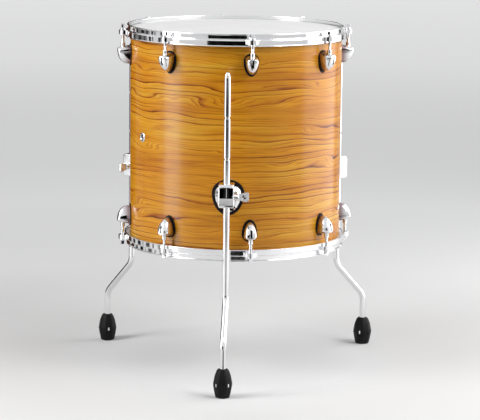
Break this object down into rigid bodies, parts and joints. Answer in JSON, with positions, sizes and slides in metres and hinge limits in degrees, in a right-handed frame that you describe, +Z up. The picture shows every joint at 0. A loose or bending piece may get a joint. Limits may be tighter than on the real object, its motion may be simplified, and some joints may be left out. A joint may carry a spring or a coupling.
{
  "type": "floor tom",
  "caption": "Floor tom drum with lacquered wood shell, triple-flanged hoops, tuning lugs and height-adjustable bent legs in clamp brackets",
  "frame": {"origin": "middle of the whole drum's bounding box, on the floor", "axes": "+Z up along the drum's axis; -Y is the front, where one lug of each end faces; +X to the right seen from the front"},
  "size_m": [0.5448, 0.5454, 0.6573],
  "materials": {
    "lacquered_wood": "amber gloss lacquer over straight-cut grain that runs round the drum",
    "chrome": "polished",
    "coated_film": "white sprayed coating",
    "clear_film": "clear film in an aluminium flesh hoop",
    "rubber": "moulded, satin",
    "zinc_steel": "zinc plated",
    "nylon": "black moulded nylon"
  },
  "bodies": {
    "root": {"shell": "lacquered_wood", "batter_head": "coated_film", "top_hoop": "chrome", "lug_top_1": "chrome", "lug_top_2": "chrome", "lug_top_3": "chrome", "lug_top_4": "chrome", "lug_top_5": "chrome", "lug_top_6": "chrome", "lug_top_7": "chrome", "lug_top_8": "chrome", "resonant_head": "clear_film", "bottom_hoop": "chrome", "lug_bottom_1": "chrome", "lug_bottom_2": "chrome", "lug_bottom_3": "chrome", "lug_bottom_4": "chrome", "lug_bottom_5": "chrome", "lug_bottom_6": "chrome", "lug_bottom_7": "chrome", "lug_bottom_8": "chrome", "bracket_gasket_front": "rubber", "leg_bracket_front": "chrome", "bracket_backplate_front": "zinc_steel", "bracket_gasket_right": "rubber", "leg_bracket_right": "chrome", "bracket_backplate_right": "zinc_steel", "bracket_gasket_left": "rubber", "leg_bracket_left": "chrome", "bracket_backplate_left": "zinc_steel", "vent_grommet": "chrome", "vent_nut": "zinc_steel"},
    "tension_rod_top_1": {"tension_rod_top_1": "chrome"},
    "tension_rod_top_2": {"tension_rod_top_2": "chrome"},
    "tension_rod_top_3": {"tension_rod_top_3": "chrome"},
    "tension_rod_top_4": {"tension_rod_top_4": "chrome"},
    "tension_rod_top_5": {"tension_rod_top_5": "chrome"},
    "tension_rod_top_6": {"tension_rod_top_6": "chrome"},
    "tension_rod_top_7": {"tension_rod_top_7": "chrome"},
    "tension_rod_top_8": {"tension_rod_top_8": "chrome"},
    "tension_rod_bottom_1": {"tension_rod_bottom_1": "chrome"},
    "tension_rod_bottom_2": {"tension_rod_bottom_2": "chrome"},
    "tension_rod_bottom_3": {"tension_rod_bottom_3": "chrome"},
    "tension_rod_bottom_4": {"tension_rod_bottom_4": "chrome"},
    "tension_rod_bottom_5": {"tension_rod_bottom_5": "chrome"},
    "tension_rod_bottom_6": {"tension_rod_bottom_6": "chrome"},
    "tension_rod_bottom_7": {"tension_rod_bottom_7": "chrome"},
    "tension_rod_bottom_8": {"tension_rod_bottom_8": "chrome"},
    "leg_bush_front": {"leg_bush_front": "nylon"},
    "wing_bolt_front": {"wing_bolt_front": "chrome"},
    "leg_front": {"leg_front": "chrome", "foot_front": "rubber"},
    "leg_bush_right": {"leg_bush_right": "nylon"},
    "wing_bolt_right": {"wing_bolt_right": "chrome"},
    "leg_right": {"leg_right": "chrome", "foot_right": "rubber"},
    "leg_bush_left": {"leg_bush_left": "nylon"},
    "wing_bolt_left": {"wing_bolt_left": "chrome"},
    "leg_left": {"leg_left": "chrome", "foot_left": "rubber"}
  },
  "joints": [
    {"name": "tension_rod_top_1_turn", "type": "hinge", "parent": "root", "child": "tension_rod_top_1", "pos_m": [-0.02511, -0.17229, 0.6], "axis": [0, 0, 1], "range_deg": [-360, 360]},
    {"name": "tension_rod_top_2_turn", "type": "hinge", "parent": "root", "child": "tension_rod_top_2", "pos_m": [0.12848, -0.10868, 0.6], "axis": [0, 0, 1], "range_deg": [-360, 360]},
    {"name": "tension_rod_top_3_turn", "type": "hinge", "parent": "root", "child": "tension_rod_top_3", "pos_m": [0.19209, 0.04491, 0.6], "axis": [0, 0, 1], "range_deg": [-360, 360]},
    {"name": "tension_rod_top_4_turn", "type": "hinge", "parent": "root", "child": "tension_rod_top_4", "pos_m": [0.12848, 0.19849, 0.6], "axis": [0, 0, 1], "range_deg": [-360, 360]},
    {"name": "tension_rod_top_5_turn", "type": "hinge", "parent": "root", "child": "tension_rod_top_5", "pos_m": [-0.02511, 0.26211, 0.6], "axis": [0, 0, 1], "range_deg": [-360, 360]},
    {"name": "tension_rod_top_6_turn", "type": "hinge", "parent": "root", "child": "tension_rod_top_6", "pos_m": [-0.17869, 0.19849, 0.6], "axis": [0, 0, 1], "range_deg": [-360, 360]},
    {"name": "tension_rod_top_7_turn", "type": "hinge", "parent": "root", "child": "tension_rod_top_7", "pos_m": [-0.24231, 0.04491, 0.6], "axis": [0, 0, 1], "range_deg": [-360, 360]},
    {"name": "tension_rod_top_8_turn", "type": "hinge", "parent": "root", "child": "tension_rod_top_8", "pos_m": [-0.17869, -0.10868, 0.6], "axis": [0, 0, 1], "range_deg": [-360, 360]},
    {"name": "tension_rod_bottom_1_turn", "type": "hinge", "parent": "root", "child": "tension_rod_bottom_1", "pos_m": [-0.02511, -0.17229, 0.28], "axis": [0, 0, -1], "range_deg": [-360, 360]},
    {"name": "tension_rod_bottom_2_turn", "type": "hinge", "parent": "root", "child": "tension_rod_bottom_2", "pos_m": [0.12848, -0.10868, 0.28], "axis": [0, 0, -1], "range_deg": [-360, 360]},
    {"name": "tension_rod_bottom_3_turn", "type": "hinge", "parent": "root", "child": "tension_rod_bottom_3", "pos_m": [0.19209, 0.04491, 0.28], "axis": [0, 0, -1], "range_deg": [-360, 360]},
    {"name": "tension_rod_bottom_4_turn", "type": "hinge", "parent": "root", "child": "tension_rod_bottom_4", "pos_m": [0.12848, 0.19849, 0.28], "axis": [0, 0, -1], "range_deg": [-360, 360]},
    {"name": "tension_rod_bottom_5_turn", "type": "hinge", "parent": "root", "child": "tension_rod_bottom_5", "pos_m": [-0.02511, 0.26211, 0.28], "axis": [0, 0, -1], "range_deg": [-360, 360]},
    {"name": "tension_rod_bottom_6_turn", "type": "hinge", "parent": "root", "child": "tension_rod_bottom_6", "pos_m": [-0.17869, 0.19849, 0.28], "axis": [0, 0, -1], "range_deg": [-360, 360]},
    {"name": "tension_rod_bottom_7_turn", "type": "hinge", "parent": "root", "child": "tension_rod_bottom_7", "pos_m": [-0.24231, 0.04491, 0.28], "axis": [0, 0, -1], "range_deg": [-360, 360]},
    {"name": "tension_rod_bottom_8_turn", "type": "hinge", "parent": "root", "child": "tension_rod_bottom_8", "pos_m": [-0.17869, -0.10868, 0.28], "axis": [0, 0, -1], "range_deg": [-360, 360]},
    {"name": "leg_front_turn", "type": "hinge", "parent": "root", "child": "leg_bush_front", "pos_m": [-0.07395, -0.19517, 0.3615], "axis": [0, 0, 1], "range_deg": [-90, 90]},
    {"name": "leg_front_slide", "type": "slide", "parent": "leg_bush_front", "child": "leg_front", "axis": [0, 0, 1], "range_m": [-0.18, 0.15]},
    {"name": "wing_bolt_front_turn", "type": "hinge", "parent": "root", "child": "wing_bolt_front", "pos_m": [-0.07395, -0.19517, 0.3615], "axis": [0.9799, -0.1994, 0], "range_deg": [0, 540]},
    {"name": "leg_right_turn", "type": "hinge", "parent": "root", "child": "leg_bush_right", "pos_m": [0.19603, 0.15038, 0.3615], "axis": [0, 0, 1], "range_deg": [-90, 90]},
    {"name": "leg_right_slide", "type": "slide", "parent": "leg_bush_right", "child": "leg_right", "axis": [0, 0, 1], "range_m": [-0.18, 0.15]},
    {"name": "wing_bolt_right_turn", "type": "hinge", "parent": "root", "child": "wing_bolt_right", "pos_m": [0.19603, 0.15038, 0.3615], "axis": [-0.4305, 0.9026, 0], "range_deg": [0, 540]},
    {"name": "leg_left_turn", "type": "hinge", "parent": "root", "child": "leg_bush_left", "pos_m": [-0.2086, 0.20725, 0.3615], "axis": [0, 0, 1], "range_deg": [-90, 90]},
    {"name": "leg_left_slide", "type": "slide", "parent": "leg_bush_left", "child": "leg_left", "axis": [0, 0, 1], "range_m": [-0.18, 0.15]},
    {"name": "wing_bolt_left_turn", "type": "hinge", "parent": "root", "child": "wing_bolt_left", "pos_m": [-0.2086, 0.20725, 0.3615], "axis": [-0.6626, -0.749, 0], "range_deg": [0, 540]}
  ]
}
